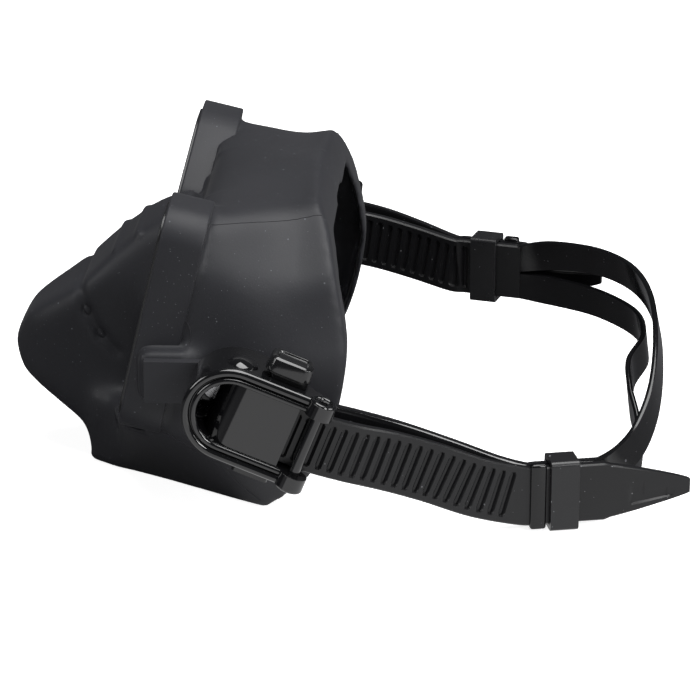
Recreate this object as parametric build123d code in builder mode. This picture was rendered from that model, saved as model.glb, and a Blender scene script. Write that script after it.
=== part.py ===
"""A two-lens diving mask: silicone skirt, framed lenses, swivelling buckles and a split head strap.

Millimetres. +Z is up, -Y is the way the wearer looks and +X is the wearer's left. The mask
stands on the lower edge of its skirt at Z = 0, with the strap lying out behind it.
"""
import os
from math import cos, radians, sin

from build123d import *

os.makedirs("parts", exist_ok=True)

# ---- driving dimensions -------------------------------------------------------------------
CLEAR = 0.3             # between pieces that move past each other
RUN = 0.05              # radial clearance of a running pin

WALL = 2.2              # skirt wall
LIP = 1.6               # thickness of the sealing lip
LIP_WIDTH = 9.0         # how far the lip turns in

LENS_TILT = 13.4        # the lens plane leans forward at the bottom
POD_BASE = (-62.0, 27.0)    # Y, Z of the foot of the lens plane
POD_HEIGHT = 64.7
POD_DEPTH = 12.0
POD_OUTER = 60.5        # half width over both pods
RIM_INSET = 2.0         # silicone outside the hard lens frame
FRAME_DEPTH = 9.0
FRAME_PROUD = 0.8
LENS_INSET = 3.6
LENS_THICK = 3.2
LENS_RECESS = 1.4
APERTURE_INSET = 6.4
BEZEL_WIDTH = 1.8       # lens retainer, seen from the front
BEZEL_SINK = 0.6        # its front face, below the frame's
LENS_SEAM = 0.2         # how far the frame laps the lens's edge
# Lens outline: corners across and up the lens plane, and the radius at each.
LENS_CORNERS = [(13.0, 45.0), (39.0, POD_HEIGHT), (POD_OUTER, POD_HEIGHT), (POD_OUTER, 0.0), (29.0, 0.0)]
LENS_RADII = [9, 14, 9, 10, 13]

PIVOT = (-33.0, 44.4)   # Y, Z of both buckle pivots
PIN_RADIUS = 2.0
ANCHOR_FACE = 68.2      # outer face of the moulded-in anchor plate
ANCHOR_THICK = 2.8
ARM_IN = 58.0           # where the silicone buckle arms start, inside the pods
BASE_IN = 68.5          # buckle base plate, inner and outer faces
BASE_OUT = 71.0
BUCKLE_OUT = 86.5
BUCKLE_HALF = 13.0      # half height of the buckle
WINDOW_HALF = 9.0       # half height inside the buckle
BUCKLE_END = 31.0       # from the pivot to the back end of the walls
BUCKLE_DIP = {"left": 22.0, "right": 5.3}   # each buckle points down towards the back

STRAP_WIDTH = 17.0
STRAP_THICK = 2.7
BOW_AT = 5.6            # centre of the buckle's round front, from the pivot along the buckle
ROLLER_AT = 9.0
ROLLER_RADIUS = 3.5
WRAP_RADIUS = ROLLER_RADIUS + 0.1
ROLLER_X = 77.7
STRAIGHT_END = 30.0     # from the pivot to where the strap leaves the buckle

BUTTON_AT = 17.0
BUTTON_X = 78.5
BUTTON_LENGTH = 10.4
BUTTON_WIDTH = 8.0
BUTTON_TOP = 16.2
BUTTON_TRAVEL = 1.4
POCKET_FLOOR = 9.8
FLANGE = 0.9            # how far the button's foot stands out each side
FLANGE_TOP = 12.0
SPRING_RADIUS = 1.5
SPRING_WALL = 0.35
SPRING_DEEP = 0.5       # how far each fold of the bellows spring goes in
SPRING_FOLDS = 4
SPRING_TOP = 14.4
SPRING_PLAY = 0.03

LATCH_AT = 27.6
LATCH_RADIUS = 1.5
LATCH_X = 86.4
LATCH_BOSS = 3.9
LATCH_STUB = 1.2

KEEPER_LENGTH = 8.0
KEEPER_WALL = 1.5
BAND_GAP = 0.3          # between main band and tail inside the keeper

KEEPER_RUN = 11.0       # half of the straight stretch that a keeper slides on
KEEPERS = {             # centre of each keeper, and how far the strap turns in there, in degrees
    "left": {"at": (58.0, 62.0, 10.5), "turn": 13.0},
    "right": {"at": (-60.5, 39.3, 36.4), "turn": 16.0},
}
MAIN_POINTS = {         # the strap's route between buckle and keeper, next to the head
    "left": [(69.6, 4, 29.6), (66.4, 15, 25.2), (63.4, 29, 19.2), (60.8, 42, 13.4)],
    "right": [(-70.8, 6, 40.4), (-66.9, 17, 38.5)],
}
TAIL_POINTS = {         # the free end's route back from the buckle, outside the main band
    "left": [(79.9, 4, 29.6), (75.0, 14.5, 25.4), (70.9, 26, 20.6), (66.6, 39, 14.6)],
    "right": [(-79.2, 7, 40.2), (-72.6, 18.5, 38.2)],
}
TIP_LENGTH = 25.4
SPLIT_GAP = 0.4
BAND_WIDTH = 9.4
BAND_THICK = 1.7
UPPER_BAND = [(-51.5, 61, 43.2), (-43.5, 74, 44), (-30.5, 84, 43), (-13, 89, 40), (6, 90, 33.5), (24, 88.3, 25.5),
              (38, 84, 19), (47.5, 78.5, 16)]
LOWER_BAND = [(-51.8, 61, 31.4), (-43.5, 74.5, 30.5), (-30, 85, 29), (-15, 87, 27), (-2, 82.5, 23.6),
              (9, 82.5, 19.2), (22, 84.5, 13), (36, 82.3, 8.2), (47, 77.7, 6.4)]

HEAD_RADIUS = 3.4       # pivot pin head, sunk in the buckle's base plate
HEAD_SINK = 1.3
ROLLER_PIN = 1.25
PIN_HALF = 11.8
COVER_RADIUS = 8.6
COVER_THICK = 1.9
COVER_END = 22.5
TOOTH_REACH = 2.1
ANCHOR_HALF = 6.0
ANCHOR_REACH = 20.0

SIDES = {"left": 1, "right": -1}


def inset_outline(points, distance):
    """Moves every side of a convex outline inwards, and returns the new corners."""
    count = len(points)
    moved = []
    for i in range(count):
        here, before, after = Vector(points[i]), Vector(points[i - 1]), Vector(points[(i + 1) % count])
        into, out = (here - before).normalized(), (after - here).normalized()
        bisector = (out - into).normalized()
        half_angle = (180 - into.get_angle(out)) / 2
        turn = into.cross(out).Z
        sign = 1 if turn > 0 else -1
        moved.append(here + bisector * (sign * distance / sin(radians(half_angle))))
    return [(p.X, p.Y) for p in moved]


# ---- skirt --------------------------------------------------------------------------------
# Each station: Y, then the left half of the section from the floor up as (X, Z) corners. The
# sections start a little under the floor, and the skirt is cut level there.
SOLE = -0.5
STATIONS = [
    (-74.0, [(17, SOLE), (23, 13), (22, 30), (18, 43), (12, 50), (0, 52)]),
    (-62.0, [(24, SOLE), (46, 24), (46, 45), (41, 59), (30, 67), (0, 69.5)]),
    (-50.0, [(31, SOLE), (57.5, 26), (58, 48), (57, 66), (49, 77), (0, 77.5)]),
    (-38.0, [(39, SOLE), (60.5, 24), (61.5, 50), (60, 72), (52, 85), (0, 83.5)]),
    (-24.0, [(48, SOLE), (64, 21), (64.5, 48), (59, 70), (44, 86), (0, 87)]),
    (-8.0, [(56, SOLE), (65, 22), (64, 48), (57, 69), (38, 87), (0, 89)]),
    (6.0, [(57, SOLE), (62, 22), (61, 48), (54, 68), (35, 85.5), (0, 87.5)]),
]
CORNER_RADII = [5, 9, 30, 16, 12, 20, 12, 16, 30, 9, 5]
LEAST_RADIUS = 1.5      # of any section corner once the wall is taken off
# The rim's and the nose's side outlines are (Y, Z) places, and the mouth's and nose's plans (X, Y).
RIM = [(-12, 92), (-4, 82), (-1, 70), (2, 52), (0, 35), (-8, 15), (-21, 0), (-23, -3)]
MOUTH = [(-8, -64), (-14, -56), (-29, -34), (-42, -12), (-44, 12), (44, 12), (42, -12), (29, -34),
         (14, -56), (8, -64)]
MOUTH_DEEP = 5.5        # of the cut that opens the skirt over the upper lip
NOSE_SIDE = [(-45, 77), (-57, 72), (-68, 63.5), (-78, 54), (-94, 43.5), (-98.5, 34), (-96, 25), (-82, 15),
             (-76.5, 11), (-75, 1), (-45, 1)]
NOSE_PLAN = [(-8, -98.5), (-14, -90), (-18, -78), (-20, -45), (20, -45), (18, -78), (14, -90), (8, -98.5)]
NOSE_FRONT = [(-25, 0), (-27, 26), (-19, 55), (-12, 80), (12, 80), (19, 55), (27, 26), (25, 0)]
BEYOND = 130.0          # further than the mask reaches, for cutting solids
BOWL_FRONT = 8.0        # the bowl starts this far behind the lens plane
BOWL_DROP = 2.0         # and this far below the foot of the lenses
APERTURE_REACH = 21.0   # how deep the cut behind each lens goes
ARM_LENGTH = 18.0
ARM_HEIGHT = 15.0
ARM_RADIUS = 3.0
ARM_AHEAD = 13.0        # from the pivot forward to the middle of the arm


def lens_point(height, depth):
    """Y, Z of a place at a height along the lens plane and a depth along its forward normal."""
    tilt = radians(LENS_TILT)
    return (
        POD_BASE[0] + height * sin(tilt) - depth * cos(tilt),
        POD_BASE[1] + height * cos(tilt) + depth * sin(tilt),
    )


def skirt_body(inset):
    """The tapering bowl of the skirt, with every section drawn in by the inset."""
    with BuildPart() as bowl:
        for y, half in STATIONS:
            other = [(-x, z) for x, z in reversed(half[:-1])]
            corners = [(x, -z) for x, z in half + other]
            if inset:
                corners = inset_outline(corners, -inset)
            shift = inset if y == STATIONS[0][0] else 0
            with BuildSketch(Plane((0, y + shift, 0), x_dir=(1, 0, 0), z_dir=(0, 1, 0))):
                with BuildLine():
                    radii = [max(r - inset, LEAST_RADIUS) for r in CORNER_RADII]
                    FilletPolyline(*corners, radius=radii, close=True)
                make_face()
        loft()
        front = BOWL_FRONT + inset
        with BuildSketch(Plane.YZ):
            with BuildLine():
                low = lens_point(-BOWL_DROP - inset, -front)
                high = lens_point(BEYOND, -front)
                Polyline(low, high, (-BEYOND, high[1]), (-BEYOND, low[1]), close=True)
            make_face()
        extrude(amount=BEYOND, both=True, mode=Mode.SUBTRACT)
    return bowl.part


def nose_body(inset):
    """The nose pocket: its side, plan and front outlines, crossed."""
    with BuildPart() as nose:
        with BuildSketch(Plane.YZ):
            with BuildLine():
                Polyline(*NOSE_SIDE, close=True)
            make_face()
            if inset:
                offset(amount=-inset, mode=Mode.REPLACE)
        extrude(amount=BEYOND, both=True)
        with BuildSketch(Plane.XY):
            with BuildLine():
                Polyline(*NOSE_PLAN, close=True)
            make_face()
            if inset:
                offset(amount=-inset, mode=Mode.REPLACE)
        extrude(amount=BEYOND, mode=Mode.INTERSECT)
        with BuildSketch(Plane.XZ):
            with BuildLine():
                Polyline(*NOSE_FRONT, close=True)
            make_face()
            if inset:
                offset(amount=-inset, mode=Mode.REPLACE)
        extrude(amount=BEYOND, both=True, mode=Mode.INTERSECT)
    return nose.part


def lens_outline(side, inset, depth):
    """A sketch of one lens outline, drawn in by the inset, at a depth along the lens normal."""
    y, z = lens_point(0, depth)
    tilt = radians(LENS_TILT)
    plane = Plane((0, y, z), x_dir=(1, 0, 0), z_dir=(0, -cos(tilt), sin(tilt)))
    with BuildSketch(plane) as outline:
        with BuildLine():
            FilletPolyline(*[(side * x, v) for x, v in LENS_CORNERS], radius=LENS_RADII, close=True)
        make_face()
        if inset:
            offset(amount=-inset, mode=Mode.REPLACE)
    return outline.sketch


def ring(side, outer, inner, front, back):
    """A ring that follows the lens outline, from a front depth to a back depth."""
    with BuildPart() as piece:
        extrude(lens_outline(side, outer, front), amount=-(front - back))
        if inner is not None:
            extrude(lens_outline(side, inner, front), amount=-(front - back), mode=Mode.SUBTRACT)
    return piece.part


def behind_rim(pull):
    """Everything in front of the skirt's rim, with the rim pulled forward."""
    with BuildPart() as room:
        with BuildSketch(Plane.YZ):
            with BuildLine():
                Spline(*[(y - pull, z) for y, z in RIM])
                high_y, high_z = RIM[0]
                low_y, low_z = RIM[-1]
                Polyline((low_y - pull, low_z), (-BEYOND, low_z), (-BEYOND, high_z), (high_y - pull, high_z))
            make_face()
        extrude(amount=BEYOND, both=True)
    return room.part


def buckle_arm(side):
    """The silicone tongue that runs back from a pod and holds the anchor."""
    with BuildPart() as arm:
        with BuildSketch(Plane.YZ.offset(side * ARM_IN)):
            with Locations((PIVOT[0] - ARM_AHEAD, PIVOT[1])):
                RectangleRounded(ARM_LENGTH, ARM_HEIGHT, ARM_RADIUS)
        extrude(amount=side * (ANCHOR_FACE - ANCHOR_THICK - ARM_IN))
    return arm.part


cavity_parts = [skirt_body(WALL), nose_body(WALL), behind_rim(LIP)]
with BuildPart() as cavity:
    add(cavity_parts[0])
    add(cavity_parts[1])
    add(cavity_parts[2], mode=Mode.INTERSECT)

shell_parts = [skirt_body(0), nose_body(0)]
shell_parts += [ring(side, 0, None, 0, -POD_DEPTH) for side in SIDES.values()]
shell_parts += [buckle_arm(side) for side in SIDES.values()]
holes = [skirt_body(WALL + LIP_WIDTH)]
holes += [ring(side, RIM_INSET, None, 0, -FRAME_DEPTH) for side in SIDES.values()]
holes += [ring(side, APERTURE_INSET, None, 0, -APERTURE_REACH) for side in SIDES.values()]
room = behind_rim(0)
with BuildPart() as skirt:
    for piece in shell_parts:
        add(piece)
    for piece in [cavity.part] + holes:
        add(piece, mode=Mode.SUBTRACT)
    with BuildSketch(Plane.XY.offset(SOLE)):
        with BuildLine():
            Polyline(*MOUTH, close=True)
        make_face()
    extrude(amount=MOUTH_DEEP, mode=Mode.SUBTRACT)
    with BuildSketch(Plane.XY):
        Rectangle(2 * BEYOND, 2 * BEYOND)
    extrude(amount=2 * SOLE, mode=Mode.SUBTRACT)
    add(room, mode=Mode.INTERSECT)
skirt.part.label = "skirt"
export_step(skirt.part, "parts/skirt.step")


# ---- lenses, their frames and retainers ---------------------------------------------------
for name, side in SIDES.items():
    rim_ring = ring(side, RIM_INSET, LENS_INSET - LENS_SEAM, FRAME_PROUD, -LENS_RECESS - LENS_THICK)
    seat_ring = ring(side, RIM_INSET, APERTURE_INSET, -LENS_RECESS - LENS_THICK, -FRAME_DEPTH)
    with BuildPart() as lens_frame:
        add(rim_ring)
        add(seat_ring)
    lens_frame.part.label = f"lens_frame_{name}"
    export_step(lens_frame.part, f"parts/lens_frame_{name}.step")

    pane = ring(side, LENS_INSET, None, -LENS_RECESS, -LENS_RECESS - LENS_THICK)
    with BuildPart() as lens:
        add(pane)
    lens.part.label = f"lens_{name}"
    export_step(lens.part, f"parts/lens_{name}.step")

    bezel = ring(side, LENS_INSET, LENS_INSET + BEZEL_WIDTH, FRAME_PROUD - BEZEL_SINK, -LENS_RECESS)
    with BuildPart() as lens_retainer:
        add(bezel)
    lens_retainer.part.label = f"lens_retainer_{name}"
    export_step(lens_retainer.part, f"parts/lens_retainer_{name}.step")


# ---- buckles ------------------------------------------------------------------------------
def side_plane(dip, across):
    """The buckle's side plane: x along the buckle, y up it, with its origin at the pivot."""
    tilt = radians(dip)
    return Plane((across, *PIVOT), x_dir=(0, cos(tilt), -sin(tilt)), z_dir=(1, 0, 0))


def plan_plane(dip, up=0.0):
    """The buckle's plan: x along the buckle from the pivot, y outwards from the middle."""
    tilt = radians(dip)
    origin = (0, PIVOT[0] + up * sin(tilt), PIVOT[1] + up * cos(tilt))
    return Plane(origin, x_dir=(0, cos(tilt), -sin(tilt)), z_dir=(0, -sin(tilt), -cos(tilt)))


def horseshoe(plane, half, end):
    """A sketch of a U outline: round at the front and open towards the back."""
    with BuildSketch(plane) as outline:
        with Locations((BOW_AT, 0)):
            Circle(half)
        with Locations(((BOW_AT + end) / 2, 0)):
            Rectangle(end - BOW_AT, 2 * half)
    return outline.sketch


def buckle_frame(dip):
    """Base plate and two walls, bored for the pivot, the roller pin and the latch bar."""
    window = horseshoe(side_plane(dip, BASE_OUT), WINDOW_HALF, BUCKLE_END + 9)
    with BuildPart() as frame:
        extrude(horseshoe(side_plane(dip, BASE_IN), BUCKLE_HALF, LATCH_AT), amount=BUCKLE_OUT - BASE_IN)
        with BuildSketch(plan_plane(dip)):
            with Locations((LATCH_AT, LATCH_X)):
                Circle(LATCH_BOSS)
        extrude(amount=BUCKLE_HALF, both=True)
        extrude(window, amount=30, mode=Mode.SUBTRACT)
        with BuildSketch(plan_plane(dip)):
            with BuildLine():
                Polyline((12, BASE_IN - 1), (12, BASE_OUT), (LATCH_AT + 2, LATCH_X - LATCH_BOSS),
                         (LATCH_AT + 9, LATCH_X - LATCH_BOSS), (LATCH_AT + 9, BASE_IN - 1), close=True)
            make_face()
        extrude(amount=30, both=True, mode=Mode.SUBTRACT)
        with BuildSketch(side_plane(dip, BASE_IN)):
            Circle(PIN_RADIUS + RUN)
        extrude(amount=5, mode=Mode.SUBTRACT)
        with BuildSketch(side_plane(dip, BASE_OUT - HEAD_SINK)):
            Circle(HEAD_RADIUS + CLEAR)
        extrude(amount=HEAD_SINK, mode=Mode.SUBTRACT)
        with BuildSketch(plan_plane(dip)):
            with Locations((ROLLER_AT, ROLLER_X)):
                Circle(ROLLER_PIN)
        extrude(amount=PIN_HALF, both=True, mode=Mode.SUBTRACT)
        with BuildSketch(plan_plane(dip)):
            with Locations((LATCH_AT, LATCH_X)):
                Circle(LATCH_STUB + RUN)
        extrude(amount=30, both=True, mode=Mode.SUBTRACT)
        for way in (1, -1):
            with BuildSketch(plan_plane(dip, way * POCKET_FLOOR)):
                with Locations((BUTTON_AT, BUTTON_X)):
                    Rectangle(BUTTON_LENGTH + 2 * CLEAR, BUTTON_WIDTH + 2 * (FLANGE + CLEAR))
            extrude(amount=-way * (FLANGE_TOP + 0.1 - POCKET_FLOOR), mode=Mode.SUBTRACT)
            with BuildSketch(plan_plane(dip, way * POCKET_FLOOR)):
                with Locations((BUTTON_AT, BUTTON_X)):
                    Rectangle(BUTTON_LENGTH + 2 * CLEAR, BUTTON_WIDTH + 2 * CLEAR)
            extrude(amount=-way * 9, mode=Mode.SUBTRACT)
    return frame.part


def buckle_cover(dip):
    """The guide plate over the roller, round at the front and flat behind."""
    window = horseshoe(side_plane(dip, BASE_OUT), WINDOW_HALF, BUCKLE_END)
    with BuildPart() as cover:
        with BuildSketch(plan_plane(dip)):
            with Locations((ROLLER_AT, ROLLER_X)):
                Circle(COVER_RADIUS)
            with Locations(((ROLLER_AT + COVER_END) / 2, ROLLER_X + COVER_RADIUS / 2)):
                Rectangle(COVER_END - ROLLER_AT, COVER_RADIUS)
            with Locations((ROLLER_AT, ROLLER_X)):
                Circle(COVER_RADIUS - COVER_THICK, mode=Mode.SUBTRACT)
            with Locations(((ROLLER_AT + COVER_END) / 2, ROLLER_X + (COVER_RADIUS - COVER_THICK) / 2)):
                Rectangle(COVER_END - ROLLER_AT, COVER_RADIUS - COVER_THICK, mode=Mode.SUBTRACT)
            with Locations((ROLLER_AT, ROLLER_X - COVER_RADIUS / 2)):
                Rectangle(3 * COVER_RADIUS, COVER_RADIUS, mode=Mode.SUBTRACT)
        extrude(amount=WINDOW_HALF, both=True)
        extrude(window, amount=30, mode=Mode.INTERSECT)
    return cover.part


def roller(dip):
    """The tube that the strap turns round."""
    with BuildPart() as tube:
        with BuildSketch(plan_plane(dip)):
            with Locations((ROLLER_AT, ROLLER_X)):
                Circle(ROLLER_RADIUS)
                Circle(ROLLER_PIN + RUN, mode=Mode.SUBTRACT)
        extrude(amount=WINDOW_HALF - CLEAR, both=True)
    return tube.part


def roller_pin(dip):
    """The steel pin pressed into both walls, on which the roller turns."""
    with BuildPart() as pin:
        with BuildSketch(plan_plane(dip)):
            with Locations((ROLLER_AT, ROLLER_X)):
                Circle(ROLLER_PIN)
        extrude(amount=PIN_HALF, both=True)
    return pin.part


def latch_bar(dip):
    """The toothed bar that bites on the strap's ribs, turning on a stub at each end."""
    with BuildPart() as bar:
        with BuildSketch(plan_plane(dip)):
            with Locations((LATCH_AT, LATCH_X)):
                Circle(LATCH_RADIUS)
            with BuildLine():
                Polyline((LATCH_AT - 1.2, LATCH_X - 0.6), (LATCH_AT + 0.2, LATCH_X - TOOTH_REACH),
                         (LATCH_AT + 1.0, LATCH_X - 0.6), close=True)
            make_face()
        extrude(amount=WINDOW_HALF - CLEAR, both=True)
        with BuildSketch(plan_plane(dip)):
            with Locations((LATCH_AT, LATCH_X)):
                Circle(LATCH_STUB)
        extrude(amount=BUCKLE_HALF - 0.5, both=True)
    return bar.part


def release_button(dip, way):
    """A push button in the upper (1) or lower (-1) wall, with a foot that keeps it in."""
    base = POCKET_FLOOR + BUTTON_TRAVEL + 0.1
    with BuildPart() as button:
        with BuildSketch(plan_plane(dip, way * base)):
            with Locations((BUTTON_AT, BUTTON_X)):
                Rectangle(BUTTON_LENGTH, BUTTON_WIDTH + 2 * FLANGE)
        extrude(amount=-way * (FLANGE_TOP - base))
        with BuildSketch(plan_plane(dip, way * base)):
            with Locations((BUTTON_AT, BUTTON_X)):
                RectangleRounded(BUTTON_LENGTH, BUTTON_WIDTH, 1.2)
        extrude(amount=-way * (BUTTON_TOP - base))
        with BuildSketch(plan_plane(dip, way * base)):
            with Locations((BUTTON_AT, BUTTON_X)):
                Circle(SPRING_RADIUS + CLEAR)
        extrude(amount=-way * (SPRING_TOP - base), mode=Mode.SUBTRACT)
    return button.part


def button_spring(dip, way):
    """The small bellows spring between the pocket's floor and the button."""
    tilt = radians(dip)
    foot = POCKET_FLOOR + SPRING_PLAY
    fold = (SPRING_TOP - SPRING_PLAY - foot) / (2 * SPRING_FOLDS)
    seat = plan_plane(dip, way * foot).from_local_coords((BUTTON_AT, BUTTON_X, 0))
    axis = Vector(0, sin(tilt), cos(tilt)) * way
    outside = [(SPRING_RADIUS - (SPRING_DEEP if i % 2 else 0), i * fold) for i in range(2 * SPRING_FOLDS + 1)]
    inside = [(r - SPRING_WALL, height) for r, height in reversed(outside)]
    with BuildPart() as spring:
        with BuildSketch(Plane(seat, x_dir=(1, 0, 0), z_dir=Vector(1, 0, 0).cross(axis))):
            with BuildLine():
                Polyline(*outside, *inside, close=True)
            make_face()
        revolve(axis=Axis(seat, axis))
    return spring.part


def anchor():
    """The hard insert moulded into the skirt's arm, bored for the pivot pin."""
    with BuildPart() as plate:
        extrude(tongue(ANCHOR_FACE - ANCHOR_THICK), amount=ANCHOR_THICK)
        with BuildSketch(Plane.YZ.offset(ANCHOR_FACE)):
            with Locations(PIVOT):
                Circle(PIN_RADIUS)
        extrude(amount=-10, mode=Mode.SUBTRACT)
    return plate.part


def tongue(across):
    """A sketch of the anchor's outline: straight from the pod, round about the pivot."""
    with BuildSketch(Plane.YZ.offset(across)) as outline:
        with Locations(PIVOT):
            Circle(ANCHOR_HALF)
        with Locations((PIVOT[0] - ANCHOR_REACH / 2, PIVOT[1])):
            Rectangle(ANCHOR_REACH, 2 * ANCHOR_HALF)
    return outline.sketch


def pivot_pin():
    """The shouldered pin that joins a buckle to its anchor."""
    with BuildPart() as pin:
        with BuildSketch(Plane.YZ.offset(ANCHOR_FACE - ANCHOR_THICK)):
            with Locations(PIVOT):
                Circle(PIN_RADIUS)
        extrude(amount=BASE_OUT - HEAD_SINK + 0.1 - ANCHOR_FACE + ANCHOR_THICK)
        with BuildSketch(Plane.YZ.offset(BASE_OUT - HEAD_SINK + 0.1)):
            with Locations(PIVOT):
                Circle(HEAD_RADIUS)
        extrude(amount=HEAD_SINK - 0.1)
    return pin.part


def finish(solid, node, side_name):
    """Mirrors a left-hand piece for the right side, labels it and writes it."""
    with BuildPart() as piece:
        add(solid)
        if side_name == "right":
            mirror(about=Plane.YZ, mode=Mode.REPLACE)
    piece.part.label = node
    export_step(piece.part, f"parts/{node}.step")


for name, dip in BUCKLE_DIP.items():
    finish(anchor(), f"buckle_anchor_{name}", name)
    finish(pivot_pin(), f"pivot_pin_{name}", name)
    finish(buckle_frame(dip), f"buckle_body_{name}", name)
    finish(buckle_cover(dip), f"buckle_cover_{name}", name)
    finish(roller(dip), f"strap_roller_{name}", name)
    finish(roller_pin(dip), f"roller_pin_{name}", name)
    finish(latch_bar(dip), f"latch_bar_{name}", name)
    for place, way in (("upper", 1), ("lower", -1)):
        finish(release_button(dip, way), f"release_button_{place}_{name}", name)
        finish(button_spring(dip, way), f"button_spring_{place}_{name}", name)


# ---- strap and keepers --------------------------------------------------------------------
def station(point, tangent):
    """A plane across a band: x through its thickness, y along its width."""
    forward = Vector(tangent).normalized()
    return Plane(point, x_dir=forward.cross(Vector(0, 0, 1)), z_dir=forward)


def band(route, widths, thickness, start, end):
    """A band lofted through upright rectangles along a route, leaving and arriving as told."""
    points = [Vector(p) for p in route]
    count = len(points)
    with BuildPart() as stretch:
        for i in range(count):
            along = start if i == 0 else end if i == count - 1 else points[i + 1] - points[i - 1]
            thick = thickness[0] + (thickness[1] - thickness[0]) * min(i / 2, (count - 1 - i) / 2, 1)
            with BuildSketch(station(points[i], along)):
                Rectangle(thick, widths[i])
        loft()
    return stretch.part


def wrap(dip):
    """The strap inside a buckle: in along the base plate, round the roller and out again."""
    with BuildPart() as turn:
        with BuildSketch(plan_plane(dip)):
            with Locations((ROLLER_AT, ROLLER_X)):
                Circle(WRAP_RADIUS + STRAP_THICK)
            with Locations(((ROLLER_AT + STRAIGHT_END) / 2, ROLLER_X)):
                Rectangle(STRAIGHT_END - ROLLER_AT, 2 * (WRAP_RADIUS + STRAP_THICK))
            with Locations((ROLLER_AT, ROLLER_X)):
                Circle(WRAP_RADIUS, mode=Mode.SUBTRACT)
            with Locations(((ROLLER_AT + STRAIGHT_END) / 2, ROLLER_X)):
                Rectangle(STRAIGHT_END - ROLLER_AT, 2 * WRAP_RADIUS, mode=Mode.SUBTRACT)
        extrude(amount=STRAP_WIDTH / 2, both=True)
    return turn.part


def along_keeper(name):
    """The level direction of the strap through a keeper, and the direction out of the strap."""
    side = SIDES[name]
    turn = radians(KEEPERS[name]["turn"])
    return Vector(-side * sin(turn), cos(turn), 0), Vector(side * cos(turn), sin(turn), 0)


def leaving_buckle(name, layer):
    """Where the main band (-1) or the tail (1) leaves a buckle, and its direction there."""
    tilt = radians(BUCKLE_DIP[name])
    across = ROLLER_X + layer * (WRAP_RADIUS + STRAP_THICK / 2)
    along = Vector(0, cos(tilt), -sin(tilt))
    point = Vector(SIDES[name] * across, *PIVOT) + along * STRAIGHT_END
    return point, along


def in_keeper(name, layer, distance):
    """A point of the main band (-1) or the tail (1), a distance along from the keeper."""
    along, out = along_keeper(name)
    return Vector(KEEPERS[name]["at"]) + out * (layer * (STRAP_THICK + BAND_GAP) / 2) + along * distance


def free_stretch(name, layer, points):
    """The curved stretch from a buckle to the straight run through its keeper."""
    along, _ = along_keeper(name)
    first, leaving = leaving_buckle(name, layer)
    route = [first, *points, in_keeper(name, layer, -KEEPER_RUN)]
    return band(route, [STRAP_WIDTH] * len(route), (STRAP_THICK, STRAP_THICK), leaving, along)


def straight_run(name, layer):
    """The straight stretch that the keeper slides on."""
    along, _ = along_keeper(name)
    with BuildPart() as run:
        with BuildSketch(station(in_keeper(name, layer, -KEEPER_RUN), along)):
            Rectangle(STRAP_THICK, STRAP_WIDTH)
        extrude(amount=2 * KEEPER_RUN)
    return run.part


def tail_tip(name):
    """The pointed end of the strap, past the keeper."""
    along, _ = along_keeper(name)
    route = [in_keeper(name, 1, KEEPER_RUN + step * TIP_LENGTH) for step in (0, 0.2, 0.6, 1)]
    return band(route, [STRAP_WIDTH, 16, 11.5, 5], (STRAP_THICK, STRAP_THICK), along, along)


def split_band(level):
    """The upper (1) or lower (-1) of the two narrow bands behind the head."""
    points = UPPER_BAND if level > 0 else LOWER_BAND
    half = (STRAP_WIDTH + SPLIT_GAP) / 4
    ends = [in_keeper(name, -1, KEEPER_RUN) + Vector(0, 0, level * half) for name in ("right", "left")]
    leaving = along_keeper("right")[0]
    arriving = along_keeper("left")[0] * -1
    narrow = (STRAP_WIDTH - SPLIT_GAP) / 2
    widths = [narrow] + [BAND_WIDTH] * len(points) + [narrow]
    return band([ends[0], *points, ends[1]], widths, (STRAP_THICK, BAND_THICK), leaving, arriving)


strap_pieces = [split_band(1), split_band(-1)]
for name in SIDES:
    turned = wrap(BUCKLE_DIP[name])
    with BuildPart() as inside_buckle:
        add(turned)
        if name == "right":
            mirror(about=Plane.YZ, mode=Mode.REPLACE)
    strap_pieces.append(inside_buckle.part)
    strap_pieces.append(free_stretch(name, -1, MAIN_POINTS[name]))
    strap_pieces.append(free_stretch(name, 1, TAIL_POINTS[name]))
    strap_pieces.append(straight_run(name, -1))
    strap_pieces.append(straight_run(name, 1))
    strap_pieces.append(tail_tip(name))
with BuildPart() as head_strap:
    for stretch in strap_pieces:
        add(stretch)
head_strap.part.label = "head_strap"
export_step(head_strap.part, "parts/head_strap.step")

for name in SIDES:
    along, _ = along_keeper(name)
    deep = 2 * STRAP_THICK + BAND_GAP + 2 * CLEAR
    tall = STRAP_WIDTH + 2 * CLEAR
    with BuildPart() as strap_keeper:
        middle = Vector(KEEPERS[name]["at"]) - along * (KEEPER_LENGTH / 2)
        with BuildSketch(station(middle, along)):
            RectangleRounded(deep + 2 * KEEPER_WALL, tall + 2 * KEEPER_WALL, 1.4)
            Rectangle(deep, tall, mode=Mode.SUBTRACT)
        extrude(amount=KEEPER_LENGTH)
    strap_keeper.part.label = f"strap_keeper_{name}"
    export_step(strap_keeper.part, f"parts/strap_keeper_{name}.step")
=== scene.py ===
"""A black silicone diving mask, resting on a pale table with its strap laid out behind it.

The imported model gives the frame. This script adds the moulded skirt, the ribbed strap and the
rounded buckle pieces round it, and gives every surface its finish. Lengths are in metres.
"""
import logging
import math
from dataclasses import dataclass, field
from enum import Enum

import bmesh
import bpy
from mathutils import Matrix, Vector
from mathutils.bvhtree import BVHTree


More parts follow.
